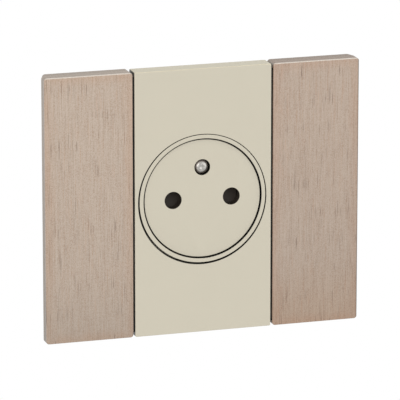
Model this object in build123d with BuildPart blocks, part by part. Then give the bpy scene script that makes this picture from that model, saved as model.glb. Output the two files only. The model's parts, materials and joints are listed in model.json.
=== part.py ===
from build123d import *
import os

# A flush mains socket of the two-pin-and-earth kind, in a cover plate with a plain centre panel
# between two veneered wings. Its round disc lies almost level with the plate at rest and slides
# back into the wall under the plug, which leaves the fixed earth pin standing in the well.
# Millimetres, +X right, +Z up, +Y into the wall. The origin is on the socket's axis, in the
# plane of the wall. A level is a distance in front of the wall, negative inside the wall, and
# Plane.XZ.offset(level) is the plane at that level, facing the room, with X and Z as its axes.

os.makedirs("parts", exist_ok=True)

# Cover plate
plate_front = 6.6
plate_height = 84.8
wing_width = 28.2
panel_margin = 1.35
shadow_gap = 0.63
plate_shift = 0.2
plate_drop = 0.73
wing_depth = 6.5
panel_depth = 6.0
face_thickness = 2.4
rim_wall = 2.0
wing_corner = 0.9
panel_corner = 0.4
edge_bevel = 0.3
grip_depth = 2.9
grip_inset = 1.0
veneer_thickness = 0.6

# Snap posts of the wings and the panel, in windows of the carrier
post_width = 3.0
post_length = 2.4
post_slack = 0.2
wing_post_pitch = 14.0
panel_post_pitch = 30.0
post_rise = 66.0

# Dark carrier under the plate
carrier_slack = 0.3
carrier_corner = 2.0
rib_depth = 0.4
rib_slack = 0.08
rib_end_gap = 1.6
window_margin = 1.5
leg_width = 3.0
leg_reach = 1.4
leg_slack = 0.2
leg_margin = 0.4
leg_z = 17.0
barb_reach = 0.7
barb_slack = 0.05

# Support frame and its wall box, with pockets in its back that barbs and lugs latch in
frame_thickness = 1.2
frame_width = 78.0
frame_height = 72.0
frame_corner = 3.0
box_screw_spacing = 60.0
slot_length = 8.0
slot_width = 4.2
pocket_depth = 0.6
pocket_margin = 0.2

# Disc, sleeve and well
disc_radius = 18.88
disc_gap = 0.34
disc_recess = 0.5
disc_face = 2.2
disc_edge = 0.15
disc_travel = 13.0
skirt_wall = 1.58
skirt_back = -3.0
lip_height = 1.2
lip_reach = 1.02
lip_gap = 0.3
ring_width = 1.33
ring_gap = 0.3
hole_slip_x = 0.02
hole_slip_z = 0.15
stop_gap = 0.3
sleeve_slack = 0.05
flange_reach = 2.5
flange_corner = 2.0
flange_thickness = 2.0
flange_slack = 0.5

# Plug interface
pin_spacing = 19.0
pin_hole_radius = 2.75
pin_hole_lip = 0.5
earth_offset = 10.0
earth_pin_radius = 2.4
earth_pin_gap = 0.15
earth_tip_drop = 0.3
earth_tip_round = 1.9
earth_head_radius = 3.2
earth_head_height = 1.4
earth_seat_slack = 0.05

# Shutter and its cassette
guide_thickness = 0.8
guide_slack = 0.08
collar_wall = 0.95
collar_slack = 0.05
chamber_depth = 3.1
cover_thickness = 1.2
shutter_gap = 0.3
shutter_half_width = 12.5
shutter_height = 6.2
shutter_ramp_drop = 1.9
shutter_travel = 6.3
rail_width = 0.7
stop_width = 1.3
stop_height = 0.7
stake_radius = 1.2
stake_slack = 0.05
stake_x = 7.0
stake_z = 13.4
pin_clearance = 0.25

# Springs
return_spring_radius = 2.1
return_spring_wire = 0.6
return_spring_coils = 9
return_spring_x = 11.5
return_spring_z = 8.3
low_spring_z = -11.0
spring_pocket_radius = 3.1
spring_seat_level = -24.0
spring_gap = 0.05
boss_radius = 1.5
boss_height = 1.3
shutter_spring_radius = 0.95
shutter_spring_wire = 0.35
shutter_spring_coils = 8
shutter_seat_z = -15.0
shutter_seat_width = 4.0
shutter_seat_height = 1.3

# Contact housing and rear cover
housing_wall = 0.9
housing_chamfer = 3.0
housing_back = -27.0
opening_slack = 0.3
floor_gap = 0.3
rear_cover_thickness = 2.5
lug_reach = 1.1
lug_height = 2.0
lug_length = 8.0

# Contacts and terminals
brass_thickness = 0.8
strip_width = 6.0
strip_slack = 0.2
strip_top_margin = 2.6
cover_gap = 0.2
finger_width = 5.0
finger_root = 2.9
finger_neck = 2.25
finger_mouth = 3.3
finger_neck_level = -19.0
finger_mouth_level = -16.9
pocket_slack = 0.3
tongue_width = 4.8
tongue_front = -19.8
terminal_margin = 0.35
cage_front = -19.6
cage_back = -25.6
cage_wall = 1.0
cage_nut = 1.8
cage_room = 3.6
cage_width = 7.0
cage_slack = 0.2
terminal_screw_radius = 1.6
terminal_head_radius = 2.4
terminal_head_height = 1.3
terminal_screw_bite = 0.9
wire_hole_radius = 1.9
wire_hole_offset = 2.4

# Assembly screws
screw_radius = 1.2
screw_head_radius = 2.1
screw_head_height = 1.2
screw_length = 9.0
screw_slack = 0.05
driver_slot_width = 0.6
driver_slot_depth = 0.5
front_screw_inset = 3.7
rear_screw_inset = 5.0
upper_screw_inset = 5.5
low_screw_inset = 3.5

# Levels and radii that follow from the dimensions above
wing_back = plate_front - wing_depth
wing_front = plate_front - veneer_thickness
seat_level = plate_front - face_thickness
disc_front = plate_front - disc_recess
disc_back = disc_front - disc_face
sleeve_bore = disc_radius + disc_gap
sleeve_radius = sleeve_bore + ring_width
panel_hole = sleeve_radius + ring_gap
panel_width = 2 * (panel_hole + panel_margin)
wing_centre = panel_width / 2 + shadow_gap + wing_width / 2
plate_half = wing_centre + wing_width / 2
plate_centre = (plate_shift, -plate_drop)
housing_width = 2 * (sleeve_radius + sleeve_slack + housing_wall)
housing_half = housing_width / 2
flange_size = housing_width + 2 * flange_reach
carrier_opening = flange_size + 2 * flange_slack
leg_x = carrier_opening / 2 + leg_margin + leg_width / 2
sleeve_back = skirt_back + lip_height + stop_gap
flange_front = frame_thickness + flange_thickness
skirt_bore = disc_radius - skirt_wall
lip_radius = disc_radius + lip_reach
floor_level = skirt_back - disc_travel - floor_gap
frame_opening = housing_width + 2 * opening_slack
latch_level = pocket_depth - barb_slack
guide_back = disc_back - guide_thickness
guide_radius = skirt_bore - guide_slack
cover_front = guide_back - chamber_depth
cover_back = cover_front - cover_thickness
shutter_front = guide_back - shutter_gap
shutter_back = cover_front + shutter_gap
shutter_middle = (guide_back + cover_front) / 2
shutter_foot_stop = -shutter_height / 2 - shutter_travel - shutter_gap
shutter_head_stop = shutter_height / 2 + shutter_gap
rear_back = housing_back - rear_cover_thickness
strip_back = housing_back + cover_gap
strip_front = strip_back + brass_thickness
cage_outer = housing_half - terminal_margin - terminal_head_height - screw_slack
tongue_inner = cage_outer - cage_nut - cage_room
wire_hole_z = tongue_inner + wire_hole_offset
clear_radius = screw_radius + screw_slack
head_clear_radius = screw_head_radius + screw_slack
earth_clear = earth_pin_radius + pin_clearance
pin_centres = [(-pin_spacing / 2, 0), (pin_spacing / 2, 0)]
earth_centre = (0, earth_offset)
return_springs = {
    "left": (-return_spring_x, return_spring_z),
    "right": (return_spring_x, return_spring_z),
    "lower": (0, low_spring_z),
}
stakes = [(x, z) for x in (-stake_x, stake_x) for z in (-stake_z, stake_z)]
front_screw_offset = housing_half - front_screw_inset
front_screws = {
    "upper": (-front_screw_offset, front_screw_offset),
    "lower": (front_screw_offset, -front_screw_offset),
}
rear_screw_x = housing_half - rear_screw_inset
rear_screw_z = housing_half - upper_screw_inset
rear_screws = {
    "left": (-rear_screw_x, rear_screw_z),
    "right": (rear_screw_x, rear_screw_z),
    "lower": (0, low_screw_inset - housing_half),
}
front_screw_points = list(front_screws.values())
rear_screw_points = list(rear_screws.values())
# Each terminal's place along X, and whether it lies towards the top (1) or the foot (-1)
terminals = {
    "neutral": (-pin_spacing / 2, -1),
    "live": (pin_spacing / 2, -1),
    "earth": (0, 1),
}


def discs(points, radius, low, high, mode=Mode.ADD):
    """Adds or cuts a round column at each point, from one level to another."""
    with BuildSketch(Plane.XZ.offset(low)) as outline:
        with Locations(*points):
            Circle(radius)
    extrude(outline.sketch, amount=high - low, mode=mode)


def slab(centre, width, height, low, high, mode=Mode.ADD):
    """Adds or cuts a rectangular block, from one level to another."""
    with BuildSketch(Plane.XZ.offset(low)) as outline:
        with Locations(centre):
            Rectangle(width, height)
    extrude(outline.sketch, amount=high - low, mode=mode)


def rounded_slab(centre, width, height, corner, low, high, mode=Mode.ADD):
    """Adds or cuts a block with rounded corners, from one level to another."""
    with BuildSketch(Plane.XZ.offset(low)) as outline:
        with Locations(centre):
            RectangleRounded(width, height, corner)
    extrude(outline.sketch, amount=high - low, mode=mode)


def post_grid(centre, pitch, width, low, high, mode=Mode.ADD):
    """Adds or cuts four square posts about a centre, from one level to another."""
    with BuildSketch(Plane.XZ.offset(low)) as outline:
        with Locations(centre):
            with GridLocations(pitch, post_rise, 2, 2):
                Rectangle(width, width)
    extrude(outline.sketch, amount=high - low, mode=mode)


def housing_block(low, high):
    """Adds the housing's square outline with cut corners, from one level to another."""
    with BuildSketch(Plane.XZ.offset(low)) as outline:
        Rectangle(housing_width, housing_width)
        chamfer(outline.vertices(), housing_chamfer)
    extrude(outline.sketch, amount=high - low)


def finish(piece, name):
    """Labels a finished piece and writes its file."""
    piece.part.label = name
    export_step(piece.part, f"parts/{name}.step")


# Wings: moulded shells, each with a sheet of veneer over its whole face
def make_wing(side):
    centre = (plate_shift + side * wing_centre, -plate_drop)
    outer_x = centre[0] + side * wing_width / 2
    inside = (centre[0] - side * rim_wall, -plate_drop)
    with BuildPart() as wing:
        rounded_slab(centre, wing_width, plate_height, wing_corner, wing_back, wing_front)
        with BuildSketch(Plane.XY.offset(-plate_drop - plate_height / 2)):
            with BuildLine():
                Polyline(
                    (outer_x, -wing_back),
                    (outer_x, -wing_back - grip_depth),
                    (outer_x - side * grip_inset, -wing_back),
                    close=True,
                )
            make_face()
        extrude(amount=plate_height, mode=Mode.SUBTRACT)
        slab(inside, wing_width, plate_height - 2 * rim_wall, wing_back, seat_level, Mode.SUBTRACT)
        post_grid(centre, wing_post_pitch, post_width, seat_level - post_length, seat_level)
    return wing


def make_veneer(side):
    centre = (plate_shift + side * wing_centre, -plate_drop)
    with BuildPart() as veneer:
        rounded_slab(centre, wing_width, plate_height, wing_corner, wing_front, plate_front)
        chamfer(veneer.edges().group_by(Axis.Y)[0], edge_bevel)
    return veneer


for side_name, side in (("left", -1), ("right", 1)):
    finish(make_wing(side), f"{side_name}_wing")
    finish(make_veneer(side), f"{side_name}_wing_veneer")

# Centre panel, with the round hole that the sleeve's ring shows through
with BuildPart() as front_panel:
    panel_back = plate_front - panel_depth
    rounded_slab(plate_centre, panel_width, plate_height, panel_corner, panel_back, plate_front)
    chamfer(front_panel.edges().group_by(Axis.Y)[0], edge_bevel)
    slab(
        plate_centre,
        panel_width,
        plate_height - 2 * rim_wall,
        panel_back,
        seat_level,
        Mode.SUBTRACT,
    )
    discs([(-hole_slip_x, -hole_slip_z)], panel_hole, seat_level, plate_front, Mode.SUBTRACT)
    post_grid(plate_centre, panel_post_pitch, post_width, seat_level - post_length, seat_level)
finish(front_panel, "front_panel")

# Carrier: one dark frame under the wings and the panel, with a rib up each shadow gap
with BuildPart() as plate_carrier:
    carrier_inset = rim_wall + carrier_slack
    rounded_slab(
        plate_centre,
        2 * (plate_half - carrier_inset),
        plate_height - 2 * carrier_inset,
        carrier_corner,
        frame_thickness,
        seat_level,
    )
    slab((0, 0), carrier_opening, carrier_opening, frame_thickness, seat_level, Mode.SUBTRACT)
    window = post_width + 2 * post_slack
    for side in (-1, 1):
        wing_middle = (plate_shift + side * wing_centre, -plate_drop)
        post_grid(wing_middle, wing_post_pitch, window, frame_thickness, seat_level, Mode.SUBTRACT)
    post_grid(plate_centre, panel_post_pitch, window, frame_thickness, seat_level, Mode.SUBTRACT)
    screw_window_length = slot_length + 2 * window_margin
    screw_window_width = slot_width + 2 * window_margin
    with BuildSketch(Plane.XZ.offset(frame_thickness)):
        with GridLocations(box_screw_spacing, 0, 2, 1):
            Rectangle(screw_window_length, screw_window_width)
        with GridLocations(0, box_screw_spacing, 1, 2):
            Rectangle(screw_window_width, screw_window_length)
    extrude(amount=seat_level - frame_thickness, mode=Mode.SUBTRACT)
    with BuildSketch(Plane.XZ.offset(seat_level)):
        with Locations(plate_centre):
            with GridLocations(panel_width + shadow_gap, 0, 2, 1):
                Rectangle(shadow_gap - 2 * rib_slack, plate_height - 2 * rib_end_gap)
    extrude(amount=plate_front - rib_depth - seat_level)
    with BuildSketch(Plane.XZ.offset(-leg_reach)):
        with GridLocations(2 * leg_x, 2 * leg_z, 2, 2):
            Rectangle(leg_width, leg_width)
    extrude(amount=frame_thickness + leg_reach)
    for side in (-1, 1):
        barb_x = side * (leg_x + leg_width / 2 + barb_reach / 2)
        for z in (-leg_z, leg_z):
            slab((barb_x, z), barb_reach, leg_width, -leg_reach, latch_level)
finish(plate_carrier, "plate_carrier")

# Support frame: the steel plate that two screws hold to the wall box
with BuildPart() as support_frame:
    with BuildSketch(Plane.XZ):
        RectangleRounded(frame_width, frame_height, frame_corner)
        Rectangle(frame_opening, frame_opening, mode=Mode.SUBTRACT)
        with GridLocations(box_screw_spacing, 0, 2, 1):
            SlotOverall(slot_length, slot_width, mode=Mode.SUBTRACT)
        with GridLocations(0, box_screw_spacing, 1, 2):
            SlotOverall(slot_length, slot_width, rotation=90, mode=Mode.SUBTRACT)
        with GridLocations(2 * leg_x, 2 * leg_z, 2, 2):
            Rectangle(leg_width + 2 * leg_slack, leg_width + 2 * leg_slack, mode=Mode.SUBTRACT)
    extrude(amount=frame_thickness)
    barb_pocket_width = barb_reach + 2 * pocket_margin
    lug_pocket_width = lug_reach + 2 * pocket_margin
    for side in (-1, 1):
        barb_x = side * (leg_x + leg_width / 2 + barb_reach / 2)
        for z in (-leg_z, leg_z):
            slab(
                (barb_x, z),
                barb_pocket_width,
                leg_width + 2 * leg_slack,
                0,
                pocket_depth,
                Mode.SUBTRACT,
            )
        slab(
            (side * (housing_width + lug_reach) / 2, 0),
            lug_pocket_width,
            lug_length + 2 * pocket_margin,
            0,
            pocket_depth,
            Mode.SUBTRACT,
        )
finish(support_frame, "support_frame")

# Sleeve: the trim ring round the disc, its guide tube and the flange that carries it
with BuildPart() as well_sleeve:
    rounded_slab((0, 0), flange_size, flange_size, flange_corner, frame_thickness, flange_front)
    discs([(0, 0)], sleeve_radius, sleeve_back, plate_front)
    discs([(0, 0)], sleeve_bore, sleeve_back, plate_front, Mode.SUBTRACT)
    fillet(well_sleeve.edges().group_by(Axis.Y)[0], disc_edge)
    head_floor = flange_front - screw_head_height
    discs(front_screw_points, clear_radius, frame_thickness, flange_front, Mode.SUBTRACT)
    discs(front_screw_points, head_clear_radius, head_floor, flange_front, Mode.SUBTRACT)
finish(well_sleeve, "well_sleeve")

# Disc: the moving face, with its skirt, stop lip and the stakes that hold the shutter cassette
with BuildPart() as retracting_disc:
    discs([(0, 0)], disc_radius, skirt_back, disc_front)
    discs([(0, 0)], lip_radius, skirt_back, skirt_back + lip_height)
    discs([(0, 0)], skirt_bore, skirt_back, disc_back, Mode.SUBTRACT)
    discs(stakes, stake_radius, cover_back, disc_back)
    discs(pin_centres, pin_hole_radius, disc_back, disc_front, Mode.SUBTRACT)
    counterbore = pin_hole_radius + collar_wall + collar_slack
    discs(pin_centres, counterbore, disc_back, disc_front - pin_hole_lip, Mode.SUBTRACT)
    earth_hole = earth_pin_radius + earth_pin_gap
    discs([earth_centre], earth_hole, disc_back, disc_front, Mode.SUBTRACT)
    rim = retracting_disc.edges().group_by(Axis.Y)[0].sort_by(SortBy.RADIUS)[-1]
    fillet(rim, disc_edge)
finish(retracting_disc, "retracting_disc")

# Shutter guide: the dark plate behind the disc's face, with a collar in each pin hole
with BuildPart() as shutter_guide:
    discs([(0, 0)], guide_radius, guide_back, disc_back)
    collar_front = disc_front - pin_hole_lip
    discs(pin_centres, pin_hole_radius + collar_wall, disc_back, collar_front)
    rail_inner = shutter_half_width + shutter_gap
    rail_run = shutter_head_stop - shutter_foot_stop + 2 * stop_height
    stop_middles = (shutter_head_stop + stop_height / 2, shutter_foot_stop - stop_height / 2)
    for side in (-1, 1):
        rail_centre = (
            side * (rail_inner + rail_width / 2),
            (shutter_head_stop + shutter_foot_stop) / 2,
        )
        slab(rail_centre, rail_width, rail_run, cover_front, guide_back)
        for stop_z in stop_middles:
            stop_centre = (side * (rail_inner - stop_width / 2), stop_z)
            slab(stop_centre, stop_width, stop_height, cover_front, guide_back)
    discs(pin_centres, pin_hole_radius, guide_back, collar_front, Mode.SUBTRACT)
    discs([earth_centre], earth_clear, guide_back, disc_back, Mode.SUBTRACT)
    discs(stakes, stake_radius + stake_slack, guide_back, disc_back, Mode.SUBTRACT)
finish(shutter_guide, "shutter_guide")

# Shutter: one bar across both pin holes, sloped so that two pins together push it down
with BuildPart() as shutter:
    half_height = shutter_height / 2
    with BuildSketch(Plane.YZ.offset(-shutter_half_width)):
        with BuildLine():
            Polyline(
                (-shutter_back, -half_height),
                (-shutter_back, half_height),
                (-shutter_front + shutter_ramp_drop, half_height),
                (-shutter_front, -half_height),
                close=True,
            )
        make_face()
    extrude(amount=2 * shutter_half_width)
finish(shutter, "shutter")

# Shutter cover: closes the cassette, seats the shutter's spring and centres the return springs
with BuildPart() as shutter_cover:
    discs([(0, 0)], guide_radius, cover_back, cover_front)
    seat_centre = (0, shutter_seat_z - shutter_seat_height / 2)
    slab(seat_centre, shutter_seat_width, shutter_seat_height, cover_front, guide_back)
    discs(return_springs.values(), boss_radius, cover_back - boss_height, cover_back)
    pin_path = pin_hole_radius + pin_clearance
    discs(pin_centres, pin_path, cover_back, cover_front, Mode.SUBTRACT)
    discs([earth_centre], earth_clear, cover_back, cover_front, Mode.SUBTRACT)
    discs(stakes, stake_radius + stake_slack, cover_back, cover_front, Mode.SUBTRACT)
finish(shutter_cover, "shutter_cover")


# Springs
def make_spring(seat, direction, length, radius, wire, coils):
    with BuildPart() as spring:
        with BuildLine() as coil:
            Helix(length / coils, length, radius, center=seat, direction=direction)
        with BuildSketch(Plane(origin=coil.line @ 0, z_dir=coil.line % 0)):
            Circle(wire / 2)
        sweep(is_frenet=True)
    return spring


return_end_gap = spring_gap + return_spring_wire / 2
return_length = cover_back - spring_seat_level - 2 * return_end_gap
for place, (x, z) in return_springs.items():
    seat = (x, -spring_seat_level - return_end_gap, z)
    spring = make_spring(
        seat,
        (0, -1, 0),
        return_length,
        return_spring_radius,
        return_spring_wire,
        return_spring_coils,
    )
    finish(spring, f"{place}_return_spring")

shutter_end_gap = spring_gap + shutter_spring_wire / 2
shutter_spring = make_spring(
    (0, -shutter_middle, shutter_seat_z + shutter_end_gap),
    (0, 0, 1),
    -shutter_height / 2 - shutter_seat_z - 2 * shutter_end_gap,
    shutter_spring_radius,
    shutter_spring_wire,
    shutter_spring_coils,
)
finish(shutter_spring, "shutter_spring")

# Earth pin: one turned pin with a round tip and a head that seats on its strap
with BuildPart() as earth_pin:
    discs([earth_centre], earth_pin_radius, strip_front, disc_front - earth_tip_drop)
    fillet(earth_pin.edges().group_by(Axis.Y)[0], earth_tip_round)
    discs([earth_centre], earth_head_radius, strip_front, strip_front + earth_head_height)
finish(earth_pin, "earth_pin")


# Strips: a flat run behind the pin, and a tongue forward into the terminal
def add_strip(x, up, far_z):
    near_z = tongue_inner + brass_thickness
    middle = (x, up * (near_z + far_z) / 2)
    slab(middle, strip_width, near_z - far_z, strip_back, strip_front)
    tongue_middle = (x, up * (tongue_inner + brass_thickness / 2))
    slab(tongue_middle, tongue_width, brass_thickness, strip_front, tongue_front)


with BuildPart() as earth_strap:
    add_strip(0, 1, earth_offset - earth_head_radius)
finish(earth_strap, "earth_strap")


def make_line_contact(x):
    with BuildPart() as contact:
        add_strip(x, -1, -strip_top_margin)
        for side in (-1, 1):
            inner = [
                (x + side * finger_root, -strip_front),
                (x + side * finger_neck, -finger_neck_level),
                (x + side * finger_mouth, -finger_mouth_level),
            ]
            outer = [(px + side * brass_thickness, py) for px, py in reversed(inner)]
            with BuildSketch(Plane.XY.offset(-finger_width / 2)):
                with BuildLine():
                    Polyline(*inner, *outer, close=True)
                make_face()
            extrude(amount=finger_width)
        foot_half = finger_root + brass_thickness
        slab((x, 0), 2 * foot_half, finger_width, strip_back, strip_front)
    return contact


# Terminals: a cage round each tongue, and the screw that closes it on the wire
def make_cage(x, up):
    inner_edge = tongue_inner - cage_wall
    middle = (x, up * (inner_edge + cage_outer) / 2)
    room_middle = (x, up * (tongue_inner + cage_room / 2))
    screw_y = -(cage_front + cage_back) / 2
    with BuildPart() as cage:
        slab(middle, cage_width, cage_outer - inner_edge, cage_back, cage_front)
        room_width = cage_width - 2 * cage_wall
        slab(room_middle, room_width, cage_room, cage_back, cage_front, Mode.SUBTRACT)
        with BuildSketch(Plane.XY.offset(up * (tongue_inner + cage_room))):
            with Locations((x, screw_y)):
                Circle(terminal_screw_radius + screw_slack)
        extrude(amount=up * cage_nut, mode=Mode.SUBTRACT)
    return cage


def make_terminal_screw(x, up):
    tip_z = tongue_inner + cage_room - terminal_screw_bite
    head_z = cage_outer + screw_slack
    screw_y = -(cage_front + cage_back) / 2
    with BuildPart() as screw:
        with BuildSketch(Plane.XY.offset(up * tip_z)):
            with Locations((x, screw_y)):
                Circle(terminal_screw_radius)
        extrude(amount=up * (head_z - tip_z))
        with BuildSketch(Plane.XY.offset(up * head_z)):
            with Locations((x, screw_y)):
                Circle(terminal_head_radius)
        extrude(amount=up * terminal_head_height)
        with BuildSketch(Plane.XY.offset(up * (head_z + terminal_head_height))):
            with Locations((x, screw_y)):
                Rectangle(2 * terminal_head_radius, driver_slot_width)
        extrude(amount=-up * driver_slot_depth, mode=Mode.SUBTRACT)
    return screw


for wire, (x, up) in terminals.items():
    finish(make_cage(x, up), f"{wire}_terminal")
    finish(make_terminal_screw(x, up), f"{wire}_terminal_screw")
    if wire != "earth":
        finish(make_line_contact(x), f"{wire}_contact")

# Contact housing: the well behind the sleeve, and pockets for springs, contacts and terminals
with BuildPart() as contact_housing:
    housing_block(housing_back, frame_thickness)
    discs([(0, 0)], sleeve_radius + sleeve_slack, sleeve_back, frame_thickness, Mode.SUBTRACT)
    discs([(0, 0)], lip_radius + lip_gap, floor_level, sleeve_back, Mode.SUBTRACT)
    discs(
        return_springs.values(),
        spring_pocket_radius,
        spring_seat_level,
        floor_level,
        Mode.SUBTRACT,
    )
    pocket_width = 2 * (finger_mouth + brass_thickness + pocket_slack)
    pocket_height = finger_width + 2 * pocket_slack
    for centre in pin_centres:
        slab(centre, pocket_width, pocket_height, housing_back, floor_level, Mode.SUBTRACT)
    earth_seat = earth_pin_radius + earth_seat_slack
    discs([earth_centre], earth_seat, housing_back, floor_level, Mode.SUBTRACT)
    head_top = strip_front + earth_head_height + strip_slack
    earth_head_clear = earth_head_radius + strip_slack
    discs([earth_centre], earth_head_clear, housing_back, head_top, Mode.SUBTRACT)
    for wire, (x, up) in terminals.items():
        channel_width = strip_width + 2 * strip_slack
        channel_far = tongue_inner + brass_thickness + strip_slack
        channel_middle = (x, up * channel_far / 2)
        channel_front = strip_front + strip_slack
        slab(
            channel_middle,
            channel_width,
            channel_far,
            housing_back,
            channel_front,
            Mode.SUBTRACT,
        )
        bay_inner = tongue_inner - cage_wall - cage_slack
        bay_outer = housing_half
        slab(
            (x, up * (bay_inner + bay_outer) / 2),
            cage_width + 2 * cage_slack,
            bay_outer - bay_inner,
            housing_back,
            cage_front + cage_slack,
            Mode.SUBTRACT,
        )
    front_hole_end = flange_front - screw_length - screw_slack
    rear_hole_end = rear_back + screw_length + screw_slack
    discs(front_screw_points, clear_radius, front_hole_end, frame_thickness, Mode.SUBTRACT)
    discs(rear_screw_points, clear_radius, housing_back, rear_hole_end, Mode.SUBTRACT)
    lug_back = latch_level - lug_height
    for side in (-1, 1):
        lug_centre = (side * (housing_width + lug_reach) / 2, 0)
        slab(lug_centre, lug_reach, lug_length, lug_back, latch_level)
finish(contact_housing, "contact_housing")

# Rear cover: closes the housing and lets the three wires in
with BuildPart() as rear_cover:
    housing_block(rear_back, housing_back)
    wire_points = [(x, up * wire_hole_z) for x, up in terminals.values()]
    discs(wire_points, wire_hole_radius, rear_back, housing_back, Mode.SUBTRACT)
    discs(rear_screw_points, clear_radius, rear_back, housing_back, Mode.SUBTRACT)
    rear_head_floor = rear_back + screw_head_height
    discs(rear_screw_points, head_clear_radius, rear_back, rear_head_floor, Mode.SUBTRACT)
finish(rear_cover, "rear_cover")


# Assembly screws: inwards is -1 for a screw driven from the front and 1 for one from the rear
def make_screw(x, z, face_level, inwards):
    with BuildPart() as screw:
        tip = face_level + inwards * screw_length
        neck = face_level + inwards * screw_head_height
        discs([(x, z)], screw_radius, neck, tip)
        discs([(x, z)], screw_head_radius, face_level, neck)
        slot_floor = face_level + inwards * driver_slot_depth
        slab((x, z), 2 * screw_head_radius, driver_slot_width, face_level, slot_floor, Mode.SUBTRACT)
    return screw


for place, (x, z) in front_screws.items():
    finish(make_screw(x, z, flange_front, -1), f"{place}_front_screw")
for place, (x, z) in rear_screws.items():
    finish(make_screw(x, z, rear_back, 1), f"{place}_rear_screw")
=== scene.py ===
"""A flush wall socket with a retracting disc, between two veneered wings, dressed in its finishes.

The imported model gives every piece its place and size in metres: +X right, +Z up and +Y into the wall.
The pieces that show are worked out again here as smooth surfaces that fill the same space. The others
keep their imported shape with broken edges. Sizes below are in millimetres, and a level is a distance in
front of the wall, so that y = -level.
"""

import json
import logging
import math
from dataclasses import dataclass, field
from enum import Enum
from functools import cached_property
from typing import Sequence

import bmesh
import bpy
import numpy as np
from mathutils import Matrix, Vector


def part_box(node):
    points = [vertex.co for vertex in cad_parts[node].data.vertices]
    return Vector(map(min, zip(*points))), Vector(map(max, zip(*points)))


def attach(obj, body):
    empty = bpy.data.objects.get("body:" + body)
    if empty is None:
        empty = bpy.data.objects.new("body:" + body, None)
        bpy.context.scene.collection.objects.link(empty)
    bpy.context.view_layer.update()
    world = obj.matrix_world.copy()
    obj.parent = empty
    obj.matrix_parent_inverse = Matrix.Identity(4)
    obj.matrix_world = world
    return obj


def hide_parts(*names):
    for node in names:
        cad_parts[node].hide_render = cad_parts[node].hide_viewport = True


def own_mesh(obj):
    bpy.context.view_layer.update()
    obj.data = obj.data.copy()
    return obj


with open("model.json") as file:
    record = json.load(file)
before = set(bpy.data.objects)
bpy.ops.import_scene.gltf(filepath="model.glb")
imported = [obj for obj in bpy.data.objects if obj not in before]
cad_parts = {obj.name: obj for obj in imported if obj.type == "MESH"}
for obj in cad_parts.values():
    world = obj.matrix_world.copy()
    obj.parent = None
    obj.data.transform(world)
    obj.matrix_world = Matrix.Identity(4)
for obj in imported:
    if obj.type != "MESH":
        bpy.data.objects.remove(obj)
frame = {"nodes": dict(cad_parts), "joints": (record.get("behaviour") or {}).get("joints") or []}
NODES: dict[str, bpy.types.Object] = frame["nodes"]
LOG = logging.getLogger("wall_socket")
MM = 0.001
PER_MM = 1000.0
PHOTO_PIXELS = 400.0
WHITE_LEVEL = 255
SHARP_ANGLE = math.radians(38)

Pair = tuple[float, float]
Triple = tuple[float, float, float]
Colour = tuple[float, float, float]


def linear(red: int, green: int, blue: int) -> Colour:
    """Turns a screen colour into a linear one, by the sRGB curve.

    Args:
        red: The screen's red, from 0 to 255.
        green: Its green.
        blue: Its blue.

    Returns:
        The linear colour.
    """
    share = np.array([red, green, blue]) / WHITE_LEVEL
    low = share / 12.92
    high = ((share + 0.055) / 1.055) ** 2.4
    return tuple(float(value) for value in np.where(share <= 0.04045, low, high))


CREAM: Colour = linear(211, 204, 185)
TAUPE: Colour = linear(174, 164, 154)


class Slot(Enum):
    """The record's material slots."""

    CREAM = "cream_plastic"
    WING = "wing_moulding"
    VENEER = "wood_veneer"
    CARRIER = "dark_carrier"
    FRAME = "zinc_steel"
    SHUTTER = "shutter_plastic"
    HOUSING = "housing_plastic"
    WIRE = "spring_steel"
    PIN = "nickel_pin"
    BRASS = "contact_brass"
    SCREW = "screw_steel"


class Body(Enum):
    """The bodies that pieces ride on."""

    PLATE = "plate"
    DISC = "disc"
    SHUTTER = "shutter"


def levels_of(node: str) -> Pair:
    """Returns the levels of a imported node's front and of its back."""
    low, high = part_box(node)
    return -low.y / MM, -high.y / MM


# Node trees


class Value:
    """A socket of a finish's node tree. Arithmetic on it adds Math nodes."""

    def __init__(self, tree: "Tree", socket: bpy.types.NodeSocket) -> None:
        """Keeps the tree and the socket."""
        self.tree = tree
        self.socket = socket

    def _math(self, operation: str, first: "Value | float", second: "Value | float") -> "Value":
        """Returns a Math node's result for two numbers."""
        return self.tree.node("ShaderNodeMath", {"operation": operation}, {0: first, 1: second})

    def __add__(self, other: "Value | float") -> "Value":
        """Returns the sum."""
        return self._math("ADD", self, other)

    __radd__ = __add__

    def __sub__(self, other: "Value | float") -> "Value":
        """Returns the difference."""
        return self._math("SUBTRACT", self, other)

    def __rsub__(self, other: float) -> "Value":
        """Returns the difference from a number on the left."""
        return self._math("SUBTRACT", other, self)

    def __mul__(self, other: "Value | float") -> "Value":
        """Returns the product."""
        return self._math("MULTIPLY", self, other)

    __rmul__ = __mul__

    def __pow__(self, other: "Value | float") -> "Value":
        """Returns the power."""
        return self._math("POWER", self, other)

    def __abs__(self) -> "Value":
        """Returns the size without its sign."""
        return self._math("ABSOLUTE", self, 0.0)

    def least(self, other: "Value | float") -> "Value":
        """Returns the smaller of two numbers."""
        return self._math("MINIMUM", self, other)

    def most(self, other: "Value | float") -> "Value":
        """Returns the larger of two numbers."""
        return self._math("MAXIMUM", self, other)

    def sine(self) -> "Value":
        """Returns the sine of an angle in radians."""
        return self._math("SINE", self, 0.0)

    def ramp(self, start: float, end: float, low: float = 0.0, high: float = 1.0) -> "Value":
        """Returns a smooth step.

        Args:
            start: The value at which the result is low.
            end: The value at which the result is high.
            low: The result up to start.
            high: The result from end on.

        Returns:
            The stepped value, clamped outside the two ends.
        """
        settings = {"interpolation_type": "SMOOTHSTEP", "clamp": True}
        inputs = {"Value": self, "From Min": start, "From Max": end, "To Min": low, "To Max": high}
        return self.tree.node("ShaderNodeMapRange", settings, inputs)


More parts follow.
